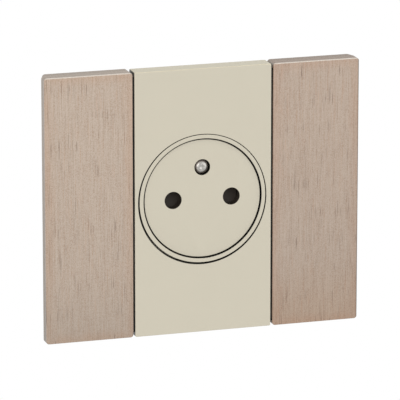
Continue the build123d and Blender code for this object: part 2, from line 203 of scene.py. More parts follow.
class Tree:
    """The nodes of a material or of the world. A material's patterns are read on Object coordinates."""

    def __init__(self, owner: bpy.types.Material | bpy.types.World) -> None:
        """Empties the owner's node tree.

        Args:
            owner: The material or the world.
        """
        owner.use_nodes = True
        self.owner = owner
        self.nodes = owner.node_tree.nodes
        self.links = owner.node_tree.links
        self.nodes.clear()

    @classmethod
    def new(cls, name: str) -> "Tree":
        """Returns the empty tree of a new material."""
        return cls(bpy.data.materials.new(name))

    @cached_property
    def place(self) -> Value:
        """The place on the piece, in metres."""
        return self.node("ShaderNodeTexCoord", {}, {}, "Object")

    def node(
        self,
        kind: str,
        settings: dict[str, object],
        inputs: dict[str | int, object],
        output: str | int = 0,
    ) -> Value:
        """Adds a node.

        Args:
            kind: The node's type.
            settings: Its properties. The key "stops" holds a ramp's (position, colour) pairs.
            inputs: A number, a colour or a Value for each socket, by name or by number.
            output: The socket that is wanted.

        Returns:
            The wanted output.
        """
        node = self.nodes.new(kind)
        for key, setting in settings.items():
            if key == "stops":
                self._set_stops(node, setting)
            else:
                setattr(node, key, setting)
        for key, given in inputs.items():
            if isinstance(given, Value):
                self.links.new(given.socket, node.inputs[key])
            elif isinstance(given, tuple) and len(given) == 3 and node.inputs[key].type == "RGBA":
                node.inputs[key].default_value = (*given, 1.0)
            else:
                node.inputs[key].default_value = given
        return Value(self, node.outputs[output])

    @staticmethod
    def _set_stops(node: bpy.types.Node, stops: Sequence[tuple[float, Colour]]) -> None:
        """Sets a colour ramp's stops.

        Args:
            node: The ramp.
            stops: The (position, colour) pairs.
        """
        elements = node.color_ramp.elements
        while len(elements) < len(stops):
            elements.new(1.0)
        for element, (position, colour) in zip(elements, stops):
            element.position = position
            element.color = (*colour, 1.0)

    def noise(
        self,
        per_mm: Triple,
        detail: float = 2.0,
        roughness: float = 0.5,
        shift: float = 0.0,
    ) -> Value:
        """Returns smooth noise between 0 and 1.

        Args:
            per_mm: How many features lie in a millimetre along X, Y and Z.
            detail: How many finer octaves are added.
            roughness: How strong the finer octaves are.
            shift: A shift of the pattern, so that two noises differ.

        Returns:
            The noise.
        """
        scale = tuple(PER_MM * count for count in per_mm)
        settings = {"vector_type": "POINT"}
        inputs = {"Vector": self.place, "Scale": scale, "Location": (shift, shift, shift)}
        spot = self.node("ShaderNodeMapping", settings, inputs)
        inputs = {"Vector": spot, "Scale": 1.0, "Detail": detail, "Roughness": roughness}
        return self.node("ShaderNodeTexNoise", {"noise_dimensions": "3D"}, inputs, 0)

    def axis(self, name: str) -> Value:
        """Returns the place along one axis, in millimetres."""
        return self.node("ShaderNodeSeparateXYZ", {}, {0: self.place}, name) * PER_MM

    def level(self) -> Value:
        """Returns the distance in front of the wall, in millimetres."""
        return 0.0 - self.axis("Y")

    def radius(self, centre: Pair) -> Value:
        """Returns the distance from an axis that runs into the wall, in millimetres."""
        across, upward = self.axis("X") - centre[0], self.axis("Z") - centre[1]
        return (across * across + upward * upward) ** 0.5

    def mix(self, share: Value | float, first: object, second: object, blend: str = "MIX") -> Value:
        """Returns the first colour going over to the second as share goes from 0 to 1."""
        settings = {"data_type": "RGBA", "blend_type": blend}
        return self.node("ShaderNodeMix", settings, {0: share, 6: first, 7: second}, 2)

    def times(self, colour: object, factor: object, share: Value | float = 1.0) -> Value:
        """Returns a colour times another one, or part of the way there."""
        return self.mix(share, colour, factor, "MULTIPLY")

    def grey(self, level: Value) -> Value:
        """Returns a number as a grey colour, for multiplying colours."""
        return self.node("ShaderNodeCombineColor", {}, {0: level, 1: level, 2: level})

    def bump(self, height: Value, depth: float, strength: float = 1.0) -> Value:
        """Returns a normal that follows a height between 0 and 1, which is depth millimetres high."""
        inputs = {"Height": height, "Distance": depth * MM, "Strength": strength}
        return self.node("ShaderNodeBump", {}, inputs)

    def surface(self, **sockets: object) -> bpy.types.Material:
        """Closes the tree with a surface shader.

        Args:
            **sockets: The shader's sockets, with underscores for the spaces in their names.

        Returns:
            The finished material.
        """
        inputs = {name.replace("_", " "): value for name, value in sockets.items()}
        self.close(self.node("ShaderNodeBsdfPrincipled", {}, inputs))
        return self.owner

    def close(self, shader: Value, kind: str = "ShaderNodeOutputMaterial") -> None:
        """Joins a shader to the output."""
        output = self.nodes.new(kind)
        self.links.new(shader.socket, output.inputs["Surface"])


# Finishes

# Painted shade: GAP_SHADE is the factor on a colour deep in a narrow gap, and bands painted on a face
# start OVER_FACE in front of it.
GAP_SHADE = 0.03
OVER_FACE = 0.3


class Zone(Enum):
    """The parts of a piece that a band can lie in."""

    ALL = "everywhere"
    INSIDE = "within a distance of an axis into the wall"
    OUTSIDE = "beyond a distance of an axis into the wall"
    BESIDE = "beyond a distance from the panel's middle"
    ABOVE = "above a height"


@dataclass(frozen=True)
class Band:
    """A band of levels in one zone, in which a painted shade darkens plastic in a gap's depth or a
    painted highlight lightens it on an edge.

    The factor on the colour goes from 1 at the mouth's level to the shade within a short fade, and back
    to 1 below the foot's level.

    Attributes:
        mouth: The level of its front.
        shade: The factor on the colour: below 1 for a painted shade, above 1 for a painted highlight.
        fade: How far the shade takes to start, into the wall.
        foot: The level of its back.
        foot_fade: How far it takes to end.
        zone: Where on the piece it lies.
        limit: The zone's radius, half width or height.
        centre: The zone's middle on the wall.
        soft: The width of the zone's soft edge.
    """

    mouth: float
    shade: float = 0.1
    fade: float = 0.2
    foot: float = -100.0
    foot_fade: float = 1.5
    zone: Zone = Zone.ALL
    limit: float = 0.0
    centre: Pair = (0.0, 0.0)
    soft: float = 0.1

    def _within(self, tree: Tree) -> Value | float:
        """Works out how far a place lies in the zone.

        Args:
            tree: The tree to add the nodes to.

        Returns:
            A number between 0 and 1.
        """
        if self.zone is Zone.ALL:
            return 1.0
        if self.zone is Zone.ABOVE:
            return tree.axis("Z").ramp(self.limit - self.soft, self.limit)
        if self.zone is Zone.BESIDE:
            return abs(tree.axis("X") - self.centre[0]).ramp(self.limit - self.soft, self.limit)
        inwards = self.soft if self.zone is Zone.INSIDE else -self.soft
        return tree.radius(self.centre).ramp(self.limit + inwards, self.limit)

    def factor(self, tree: Tree) -> Value:
        """Works out the factor on the plastic's colour.

        Args:
            tree: The tree to add the nodes to.

        Returns:
            The factor.
        """
        depth = tree.level().ramp(self.mouth, self.mouth - self.fade)
        depth = depth * tree.level().ramp(self.foot - self.foot_fade, self.foot)
        return 1.0 - depth * self._within(tree) * (1.0 - self.shade)


def painted_gap_shade(front: float, start: float = 0.015, fade: float = 0.07, **more: object) -> Band:
    """Returns the painted shade on a narrow gap's wall, nearly black, which starts a little under the
    front.
    """
    return Band(front - start, GAP_SHADE, fade, **more)


def painted_brim_shade(front: float, **more: object) -> Band:
    """Returns the same painted shade on the face beside the gap, within or beyond a circle."""
    return Band(front + OVER_FACE, GAP_SHADE, **more)


@dataclass(frozen=True)
class MouldedPlastic:
    """Moulded plastic with a fine spark-eroded grain and a faint unevenness of colour.

    The wall along the top has a painted shade, a factor on its colour that starts between two heights. A
    painted shade can also darken it towards the foot, and its bands paint shade into gaps and highlights
    onto edges.
    """

    name: str
    colour: Colour
    roughness: float = 0.45
    gloss: float = 0.5
    mottle: float = 0.012
    grain_per_mm: float = 7.0
    grain_depth: float = 0.004
    painted_foot_shade: float = 1.0
    half_height: float = 40.0
    top_shade: Colour = (1.0, 1.0, 1.0)
    top_shade_range: Pair = (41.3, 41.6)
    bands: tuple[Band, ...] = ()

    def material(self) -> bpy.types.Material:
        """Builds the finish.

        Returns:
            Its material.
        """
        tree = Tree.new(self.name)
        cloud = tree.noise((0.12, 0.12, 0.12), detail=3.0)
        speck = tree.noise((self.grain_per_mm,) * 3, roughness=0.6)
        shade = 1.0 + (cloud - 0.5) * (2 * self.mottle) + (speck - 0.5) * self.mottle
        height = tree.axis("Z")
        # Painted shade, darker towards the foot.
        if self.painted_foot_shade != 1.0:
            shade = shade * height.ramp(-self.half_height, self.half_height, self.painted_foot_shade, 1.0)
        # Bands of painted shade in gaps and painted highlights on edges.
        for band in self.bands:
            shade = shade * band.factor(tree)
        # Painted shade on the wall along the top.
        top = height.ramp(*self.top_shade_range)
        return tree.surface(
            Base_Color=tree.times(tree.times(self.colour, tree.grey(shade)), self.top_shade, top),
            Roughness=(speck - 0.5) * 0.12 + (cloud - 0.5) * 0.06 + self.roughness,
            Specular_IOR_Level=self.gloss,
            Normal=tree.bump(speck, self.grain_depth),
        )


def cream_moulding(name: str, *bands: Band, top_shade: Colour = (1.0, 1.0, 1.0)) -> MouldedPlastic:
    """Returns the cream plastic with its own bands of painted shade and highlight, and the factor of a
    painted shade on its colour along the top.
    """
    return MouldedPlastic(name, CREAM, roughness=0.36, gloss=0.35, top_shade=top_shade, bands=bands)


def ring_moulding(
    front: float,
    depth: float = 1.4,
    brim_radius: float = 19.2,
    brim_centre: Pair = (0.07, 0.08),
) -> MouldedPlastic:
    """Makes the cream plastic of the trim ring, with a nearly black painted shade in the gaps on both of
    its sides.

    Args:
        front: The level of the ring's front.
        depth: How far under it the painted shade ends.
        brim_radius: The radius within which the painted shade covers the front too.
        brim_centre: The middle of that circle.

    Returns:
        The finish.
    """
    end = {"foot": front - depth, "foot_fade": 0.5}
    brim = painted_brim_shade(front, zone=Zone.INSIDE, limit=brim_radius, centre=brim_centre, **end)
    return cream_moulding("cream_plastic", painted_gap_shade(front, **end), brim)


def wing_moulding(name: str, top_shade: Colour, ledge: Pair = (3.75, 3.35)) -> MouldedPlastic:
    """Makes the wings' taupe plastic, with a painted shade on its top wall and a painted highlight along
    a ledge on its walls, which are a little darker behind it.

    Args:
        name: The finish's name.
        top_shade: The factor on its colour along the top.
        ledge: The levels of the ledge's front and of its back.

    Returns:
        The finish.
    """
    # Painted highlight along the ledge, and a little darker behind it.
    bands = (Band(ledge[0], 1.2, 0.12, ledge[1], 0.12), Band(ledge[1], 0.95))
    return MouldedPlastic(
        name, TAUPE, roughness=0.5, gloss=0.3, mottle=0.02, painted_foot_shade=0.84, top_shade=top_shade, bands=bands
    )


@dataclass(frozen=True)
class OpenGrainVeneer:
    """Greyed oak veneer under matt lacquer, with the grain upright.

    The tone is the sum of three noises: fibres and streaks, which are long along Z and short across it,
    and flecks. It is flushed warmer where a fourth noise is high, and dark pores lie where a fifth one
    is highest, more of them in patches. The lacquer is warmer in a narrow band along the veneer's edges.
    A painted shade darkens it from the top to the foot, the foot has its own tint and the right side its
    own tone. The front edge has a painted highlight along the top, and along the right a painted shade
    and a thinner coat where the rim's shade is below 1. All patterns are given in features per
    millimetre along X, Y and Z.
    """

    name: str
    centre: Pair
    half: Pair
    seed: float
    tint: Colour = (1.0, 1.0, 1.0)
    light: Colour = linear(202, 186, 170)
    middle: Colour = linear(189, 171, 155)
    dark: Colour = linear(164, 137, 115)
    pore: Colour = linear(116, 92, 76)
    fibres: Triple = (5.2, 0.5, 0.11)
    streaks: Triple = (4.2, 0.3, 0.05)
    flecks: Triple = (5.0, 0.5, 5.0)
    flushes: Triple = (4.0, 0.4, 0.13)
    tone_weights: Triple = (0.8, 0.5, 1.5)
    flush: Colour = (1.0, 0.89, 0.82)
    flush_range: Pair = (0.56, 0.74)
    flush_share: float = 0.7
    pores: Triple = (5.4, 0.5, 0.11)
    patches: Triple = (0.35, 0.1, 0.1)
    pore_range: Pair = (0.71, 0.8)
    pore_share: float = 0.85
    patchiness: float = 0.25
    warm: Colour = (0.98, 0.905, 0.85)
    warm_band: float = 4.0
    warm_drift: Triple = (0.3, 0.1, 0.05)
    # Painted light and shade: lighter at the top and darker at the foot.
    painted_top_light: float = 1.05
    painted_foot_shade: float = 0.93
    foot_band: float = 24.0
    foot_tint: Colour = (0.91, 0.91, 0.905)
    side_band: float = 5.0
    side_tone: float = 1.0
    # Painted shade on the front edge along the right.
    rim_width: float = 0.25
    rim_shade: float = 1.0
    # Painted highlight along the top front edge.
    lit_edge: Colour = linear(224, 218, 206)
    lit_width: float = 0.2
    lit_level: float = 6.32
    lit_share: float = 0.65
    coat: float = 0.9

    def _edges(self, tree: Tree, colour: Value, rim: Value) -> Value:
        """Adds what changes towards the veneer's edges.

        Args:
            tree: The tree to add the nodes to.
            colour: The wood's colour.
            rim: 1 on the front edge along the right, and 0 elsewhere.

        Returns:
            The changed colour.
        """
        across = tree.axis("X") - self.centre[0]
        height = tree.axis("Z") - self.centre[1]
        half_width, half_height = self.half
        inset = (half_width - abs(across)).least(half_height - abs(height))
        drift = tree.noise(self.warm_drift, shift=self.seed + 23.0)
        edge = (inset + (drift - 0.5) * 3.0).ramp(self.warm_band, 0.0)
        colour = tree.times(colour, self.warm, edge)
        # Painted shade: darker from the top to the foot, and the right side has its own tone.
        tone = height.ramp(-half_height * 1.2, half_height * 0.9, self.painted_foot_shade, self.painted_top_light)
        tone = tone * across.ramp(half_width - self.side_band, half_width, 1.0, self.side_tone)
        colour = tree.times(tree.times(colour, tree.grey(tone)), self.tint)
        foot = height.ramp(self.foot_band - half_height, -half_height)
        colour = tree.times(colour, self.foot_tint, foot)
        # Painted shade on the front edge along the right.
        colour = tree.times(colour, tree.grey(1.0 - rim * (1.0 - self.rim_shade)))
        # Painted highlight along the top front edge.
        lit = height.ramp(half_height - self.lit_width - 0.1, half_height - self.lit_width)
        lit = lit * tree.level().ramp(self.lit_level - 0.1, self.lit_level)
        return tree.mix(lit * self.lit_share, colour, self.lit_edge)

    def material(self) -> bpy.types.Material:
        """Builds the finish.

        Returns:
            Its material.
        """
        tree = Tree.new(self.name)
        fibre = tree.noise(self.fibres, 1.0, shift=self.seed)
        streak = tree.noise(self.streaks, 1.0, shift=self.seed + 3.1)
        fleck = tree.noise(self.flecks, 1.0, shift=self.seed + 7.7)
        parts = zip((fibre, streak, fleck), self.tone_weights)
        tone = sum(((part - 0.5) * weight for part, weight in parts), 0.5)
        stops = [(0.0, self.dark), (0.5, self.middle), (1.0, self.light)]
        colour = tree.node("ShaderNodeValToRGB", {"stops": stops}, {0: tone})
        flush = tree.noise(self.flushes, 1.0, shift=self.seed + 29.3).ramp(*self.flush_range)
        colour = tree.times(colour, self.flush, flush * self.flush_share)
        dash = tree.noise(self.pores, 0.0, shift=self.seed + 11.3)
        patch = tree.noise(self.patches, 1.0, shift=self.seed + 17.9)
        pore = (dash + (patch - 0.5) * self.patchiness).ramp(*self.pore_range)
        colour = tree.mix(pore * self.pore_share, colour, self.pore)
        start = self.half[0] - self.rim_width
        rim = (tree.axis("X") - self.centre[0]).ramp(start - 0.15, start)
        return tree.surface(
            Base_Color=self._edges(tree, colour, rim),
            Roughness=0.50 + pore * 0.25 + (fibre - 0.5) * 0.15,
            Specular_IOR_Level=0.4,
            Coat_Weight=self.coat * (1.0 - rim * (1.0 - self.rim_shade)),
            Coat_Roughness=0.18,
            Normal=tree.bump((1.0 - pore) * 0.7 + fibre * 0.3, 0.03, 0.5),
        )


@dataclass(frozen=True)
class PlatedMetal:
    """Plated or bright metal with faint clouding and the fine lines of rolling or drawing."""

    name: str
    colour: Colour
    roughness: float = 0.3
    clouding: float = 0.06
    lines_per_mm: Triple = (0.4, 6.0, 6.0)
    line_depth: float = 0.002

    def material(self) -> bpy.types.Material:
        """Builds the finish.

        Returns:
            Its material.
        """
        tree = Tree.new(self.name)
        cloud = tree.noise((0.25, 0.25, 0.25), detail=4.0, roughness=0.6)
        lines = tree.noise(self.lines_per_mm)
        shade = 1.0 + (cloud - 0.5) * (2 * self.clouding) + (lines - 0.5) * self.clouding
        return tree.surface(
            Base_Color=tree.times(self.colour, tree.grey(shade)),
            Metallic=1.0,
            Roughness=(cloud - 0.5) * 0.2 + (lines - 0.5) * 0.15 + self.roughness,
            Normal=tree.bump(lines, self.line_depth),
        )


@dataclass(frozen=True)
class SpangledZinc:
    """Hot-dipped sheet: crystals of slightly different brightness, with fine scratches."""

    name: str
    colour: Colour = (0.60, 0.61, 0.62)
    roughness: float = 0.34
    crystals_per_mm: float = 0.45

    def material(self) -> bpy.types.Material:
        """Builds the finish.

        Returns:
            Its material.
        """
        tree = Tree.new(self.name)
        inputs = {"Vector": tree.place, "Scale": PER_MM * self.crystals_per_mm}
        crystal = tree.node("ShaderNodeTexVoronoi", {"feature": "F1"}, inputs, "Color")
        facet = tree.node("ShaderNodeSeparateColor", {}, {0: crystal}, 0)
        scratch = tree.noise((0.15, 5.0, 9.0), detail=3.0, roughness=0.7)
        shade = 1.0 + (facet - 0.5) * 0.16 + (scratch - 0.5) * 0.10
        return tree.surface(
            Base_Color=tree.times(self.colour, tree.grey(shade)),
            Metallic=1.0,
            Roughness=(facet - 0.5) * 0.14 + (scratch - 0.5) * 0.2 + self.roughness,
            Normal=tree.bump(scratch, 0.002),
        )


@dataclass(frozen=True)
class TurnedNickel:
    """Nickel plate over a turned pin, whose tool marks are rings about the pin's axis.

    Round the tip, outside one radius and above one level, the plating is rougher, and its colour is a
    darker, browner painted shade and reflection of the hole round the pin.
    """

    name: str
    axis: Pair
    colour: Colour = (0.46, 0.445, 0.415)
    roughness: float = 0.24
    rings_per_mm: float = 7.0
    shoulder_shade: Colour = (0.46, 0.40, 0.35)
    shoulder_radius: float = 1.85
    shoulder_level: float = 4.4

    def material(self) -> bpy.types.Material:
        """Builds the finish.

        Returns:
            Its material.
        """
        tree = Tree.new(self.name)
        radius = tree.radius(self.axis)
        rings = (radius * (math.tau * self.rings_per_mm)).sine() * 0.5 + 0.5
        cloud = tree.noise((2.1, 2.1, 2.1))
        # Painted shade and reflection on the tip's shoulder, where the plating is also rougher.
        shoulder_mask = radius.ramp(self.shoulder_radius - 0.35, self.shoulder_radius)
        shoulder_mask = shoulder_mask * tree.level().ramp(self.shoulder_level - 1.0, self.shoulder_level)
        # Painted reflections: light glints and dark patches of noise on the plating's colour.
        painted_reflections = tree.times(self.colour, tree.grey(0.3 + cloud * 1.3))
        return tree.surface(
            Base_Color=tree.mix(shoulder_mask, painted_reflections, self.shoulder_shade),
            Metallic=1.0,
            Roughness=(cloud - 0.5) * 0.12 + self.roughness + shoulder_mask * 0.4,
            Normal=tree.bump(rings, 0.0015, 0.6),
        )


# Surfaces


def rounded_path(
    corners: Sequence[Pair],
    radii: Sequence[float],
    steps: int = 6,
    guard: float = 0.03,
) -> np.ndarray:
    """Rounds the inner corners of a path of straight runs.

    Each corner becomes an arc between its two tangent points, found by turning the first radius into
    the second: the weights are sin((1 - s) t) / sin t and sin(s t) / sin t for a turn t. A guard point
    just outside each tangent point keeps the runs beside the arc flat in smooth shading.

    Args:
        corners: The path's corners, as (across, level).
        radii: One radius for each inner corner. None is made where the radius is 0.
        steps: The number of spans in an arc.
        guard: The distance of a guard point from its tangent point.

    Returns:
        The path's points, as rows of (across, level).
    """
    path = np.array(corners, float)
    parts = [path[:1]]
    share = np.linspace(0, 1, steps + 1)[:, None]
    for before, corner, after, radius in zip(path, path[1:], path[2:], radii):
        if radius <= 0:
            parts.append(corner[None])
            continue
        back = (before - corner) / np.linalg.norm(before - corner)
        ahead = (after - corner) / np.linalg.norm(after - corner)
        opening = math.acos(float(np.clip(back @ ahead, -1, 1)))
        reach = radius / math.tan(opening / 2)
        centre = corner + (back + ahead) / np.linalg.norm(back + ahead) * radius / math.sin(opening / 2)
        first = corner + back * reach - centre
        last = corner + ahead * reach - centre
        turn = math.pi - opening
        arc = centre + (np.sin((1 - share) * turn) * first + np.sin(share * turn) * last) / math.sin(turn)
        parts += [(arc[0] + back * guard)[None], arc, (arc[-1] + ahead * guard)[None]]
    parts.append(path[-1:])
    return np.concatenate(parts)


def turned(angle: np.ndarray) -> np.ndarray:
    """Returns the cosine and the sine of each angle, as pairs."""
    return np.stack([np.cos(angle), np.sin(angle)], axis=-1)


def place(points: np.ndarray, level: np.ndarray | float) -> np.ndarray:
    """Returns points in millimetres from pairs of (x, z) on the wall and levels in front of it."""
    across, upward, level = np.broadcast_arrays(points[..., 0], points[..., 1], level)
    return np.stack([across, -level, upward], axis=-1)


def lathe(profile: np.ndarray, centre: Pair = (0.0, 0.0), columns: int = 192) -> np.ndarray:
    """Turns a profile about an axis that runs into the wall.

    The point at angle a is (cx + r cos a, cz + r sin a) at the profile's level.

    Args:
        profile: Rows of (radius, level).
        centre: The axis's place on the wall.
        columns: The number of points round the axis.

    Returns:
        A grid of points, one row for each row of the profile.
    """
    angle = np.linspace(0, math.tau, columns, endpoint=False)
    return place(np.array(centre) + profile[:, :1, None] * turned(angle), profile[:, 1:])


def ring_of(points: np.ndarray, centre: Pair, radius: float) -> np.ndarray:
    """Returns the point of a circle that lies in the direction of each given point."""
    offset = points - np.array(centre)
    return np.array(centre) + offset / np.linalg.norm(offset, axis=-1, keepdims=True) * radius


@dataclass(frozen=True)
class Rectangle:
    """An upright rectangle on the wall with rounded corners, in millimetres."""

    low: Pair
    high: Pair
    corner: float

    least_radius = 0.02

    @classmethod
    def of(cls, node: str, corner: float) -> "Rectangle":
        """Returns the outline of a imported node's box."""
        low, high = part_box(node)
        return cls((low.x / MM, low.z / MM), (high.x / MM, high.z / MM), corner)

    @property
    def centre(self) -> Pair:
        """The rectangle's middle."""
        return ((self.low[0] + self.high[0]) / 2, (self.low[1] + self.high[1]) / 2)

    @property
    def half(self) -> Pair:
        """Half of the width and of the height."""
        return ((self.high[0] - self.low[0]) / 2, (self.high[1] - self.low[1]) / 2)

    def loops(
        self,
        left: np.ndarray,
        right: np.ndarray,
        ends: np.ndarray,
        stops: Sequence[float] = (),
        spans: int = 40,
        arc_steps: int = 6,
    ) -> np.ndarray:
        """Returns the outline moved inwards by several insets at once.

        The four corners are arcs, whose radius shrinks by the smallest inset, and between each two of
        them lies a straight edge. All loops have as many points, in the same order.

        Args:
            left: The inset of the left side, one for each loop.
            right: The inset of the right side.
            ends: The inset of the top and the foot.
            stops: Further places along the two upright edges, as shares of their length.
            spans: The number of spans in a straight edge.
            arc_steps: The number of spans in a corner.

        Returns:
            An array of loops of (x, z).
        """
        left, right, ends = (np.asarray(inset, float).reshape(-1, 1) for inset in (left, right, ends))
        radius = np.maximum(self.corner - np.minimum(np.minimum(left, right), ends), self.least_radius)
        x = (self.low[0] + left + radius, self.high[0] - right - radius)
        z = (self.low[1] + ends + radius, self.high[1] - ends - radius)
        middles = ((x[1], z[1]), (x[0], z[1]), (x[0], z[0]), (x[1], z[0]))
        quarter = np.linspace(0, math.pi / 2, arc_steps + 1)
        arcs = [
            np.stack(middle, axis=-1) + radius[..., None] * turned(quarter + number * math.pi / 2)
            for number, middle in enumerate(middles)
        ]
        level_edge = np.linspace(0, 1, spans + 1)[1:-1]
        upright_edge = np.unique(np.concatenate([level_edge, np.asarray(stops, float)]))
        parts = []
        for number, arc in enumerate(arcs):
            start = arc[:, -1:]
            end = arcs[(number + 1) % 4][:, :1]
            share = (upright_edge if number % 2 else level_edge)[None, :, None]
            parts += [arc, start + (end - start) * share]
        return np.concatenate(parts, axis=1)


class Shape:
    """Grids of points in millimetres that together make one closed mesh."""

    merge_distance = 1e-7

    def __init__(self) -> None:
        """Starts with no points."""
        self.points: list[np.ndarray] = []
        self.faces: list[np.ndarray] = []
        self.count = 0

    def add(self, grid: np.ndarray, wrap_rows: bool = False) -> "Shape":
        """Adds a grid of rows of points, whose rows are loops.

        Args:
            grid: Points as rows, columns and three coordinates.
            wrap_rows: Whether the last row joins the first.

        Returns:
            The shape itself.
        """
        rows, columns = grid.shape[:2]
        index = self.count + np.arange(rows * columns).reshape(rows, columns)
        if wrap_rows:
            index = np.vstack([index, index[:1]])
        beside = np.roll(index, -1, axis=1)
        quads = np.stack([index[:-1], beside[:-1], beside[1:], index[1:]], axis=-1)
        self.points.append(grid.reshape(-1, 3))
        self.faces.append(quads.reshape(-1, 4))
        self.count += rows * columns
        return self

    def closed(self, grid: np.ndarray) -> "Shape":
        """Adds a grid whose first and last rows are drawn in to their middles.

        Args:
            grid: Points as rows, columns and three coordinates.

        Returns:
            The shape itself.
        """
        first = np.broadcast_to(grid[0].mean(axis=0), grid[:1].shape)
        last = np.broadcast_to(grid[-1].mean(axis=0), grid[:1].shape)
        return self.add(np.concatenate([first, grid, last]))

    def mesh(self, name: str) -> bpy.types.Mesh:
        """Makes the mesh, with its doubles merged and its faces turned outwards.

        Args:
            name: The mesh's name.

        Returns:
            The mesh, in metres.
        """
        mesh = bpy.data.meshes.new(name)
        points = np.concatenate(self.points) * MM
        mesh.from_pydata(points.tolist(), [], np.concatenate(self.faces).tolist())
        tidy_mesh(mesh, self.merge_distance, turn_outwards=True)
        smooth(mesh)
        return mesh


def tidy_mesh(
    mesh: bpy.types.Mesh,
    distance: float,
    turn_outwards: bool = False,
    flat_angle: float = 0.0,
) -> None:
    """Merges a mesh's doubles and cleans its faces.

    Args:
        mesh: The mesh to change.
        distance: How near two points are to be merged, in metres.
        turn_outwards: Whether the faces of a closed mesh are turned outwards.
        flat_angle: The angle under which neighbouring faces become one, if any.
    """
    work = bmesh.new()
    work.from_mesh(mesh)
    bmesh.ops.remove_doubles(work, verts=work.verts, dist=distance)
    bmesh.ops.dissolve_degenerate(work, edges=work.edges, dist=distance)
    if turn_outwards:
        bmesh.ops.recalc_face_normals(work, faces=work.faces)
    if flat_angle:
        bmesh.ops.dissolve_limit(work, angle_limit=flat_angle, verts=work.verts, edges=work.edges)
    work.to_mesh(mesh)
    work.free()


def smooth(mesh: bpy.types.Mesh) -> None:
    """Shades a mesh smooth, with sharp edges where it turns by more than the sharp angle."""
    mesh.polygons.foreach_set("use_smooth", np.ones(len(mesh.polygons), bool))
    mesh.set_sharp_from_angle(angle=SHARP_ANGLE)


# Pieces


def add_object(name: str, data: bpy.types.ID) -> bpy.types.Object:
    """Adds an object to the scene.

    Args:
        name: Its name.
        data: Its mesh, lamp or camera.

    Returns:
        The new object.
    """
    thing = bpy.data.objects.new(name, data)
    bpy.context.scene.collection.objects.link(thing)
    return thing


class Workshop:
    """Puts finished pieces into the scene, each with its finish, its body and what it stands for."""

    merge_distance = 1e-6
    flat_angle = math.radians(0.6)
    edge_angle = math.radians(50)

    def __init__(self, finishes: dict[Slot, bpy.types.Material]) -> None:
        """Keeps the finish of each slot."""
        self.finishes = finishes

    def fit(
        self,
        name: str,
        mesh: bpy.types.Mesh,
        body: Body,
        slot: Slot,
        stands_for: Sequence[str] = (),
        finish: bpy.types.Material | None = None,
    ) -> bpy.types.Object:
        """Adds a piece.

        Args:
            name: The piece's name.
            mesh: Its mesh, in place and in metres.
            body: The body that it rides on.
            slot: The record's slot of its finish.
            stands_for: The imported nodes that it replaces.
            finish: Its own material, where it isn't the slot's.

        Returns:
            The new object.
        """
        piece = add_object(name, mesh)
        mesh.materials.clear()
        mesh.materials.append(finish or self.finishes[slot])
        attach(piece, body.value)
        if stands_for:
            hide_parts(*stands_for)
        LOG.info("%s: %d faces on %s", name, len(mesh.polygons), body.value)
        return piece

    def soften(self, node: str, body: Body, slot: Slot, width: float, segments: int = 3) -> None:
        """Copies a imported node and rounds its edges.

        Args:
            node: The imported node.
            body: The body that the copy rides on.
            slot: The slot of its finish.
            width: The width of a rounded edge, in millimetres.
            segments: The number of faces across a rounded edge.
        """
        mesh = NODES[node].data.copy()
        for attribute in ("custom_normal", "sharp_face", "sharp_edge"):
            if attribute in mesh.attributes:
                mesh.attributes.remove(mesh.attributes[attribute])
        tidy_mesh(mesh, self.merge_distance, flat_angle=self.flat_angle)
        smooth(mesh)
        piece = self.fit(f"{node}_edged", mesh, body, slot, [node])
        bevel = piece.modifiers.new("edges", "BEVEL")
        bevel.width = width * MM
        bevel.segments = segments
        bevel.limit_method = "ANGLE"
        bevel.angle_limit = self.edge_angle
        bevel.use_clamp_overlap = True
        bevel.harden_normals = True


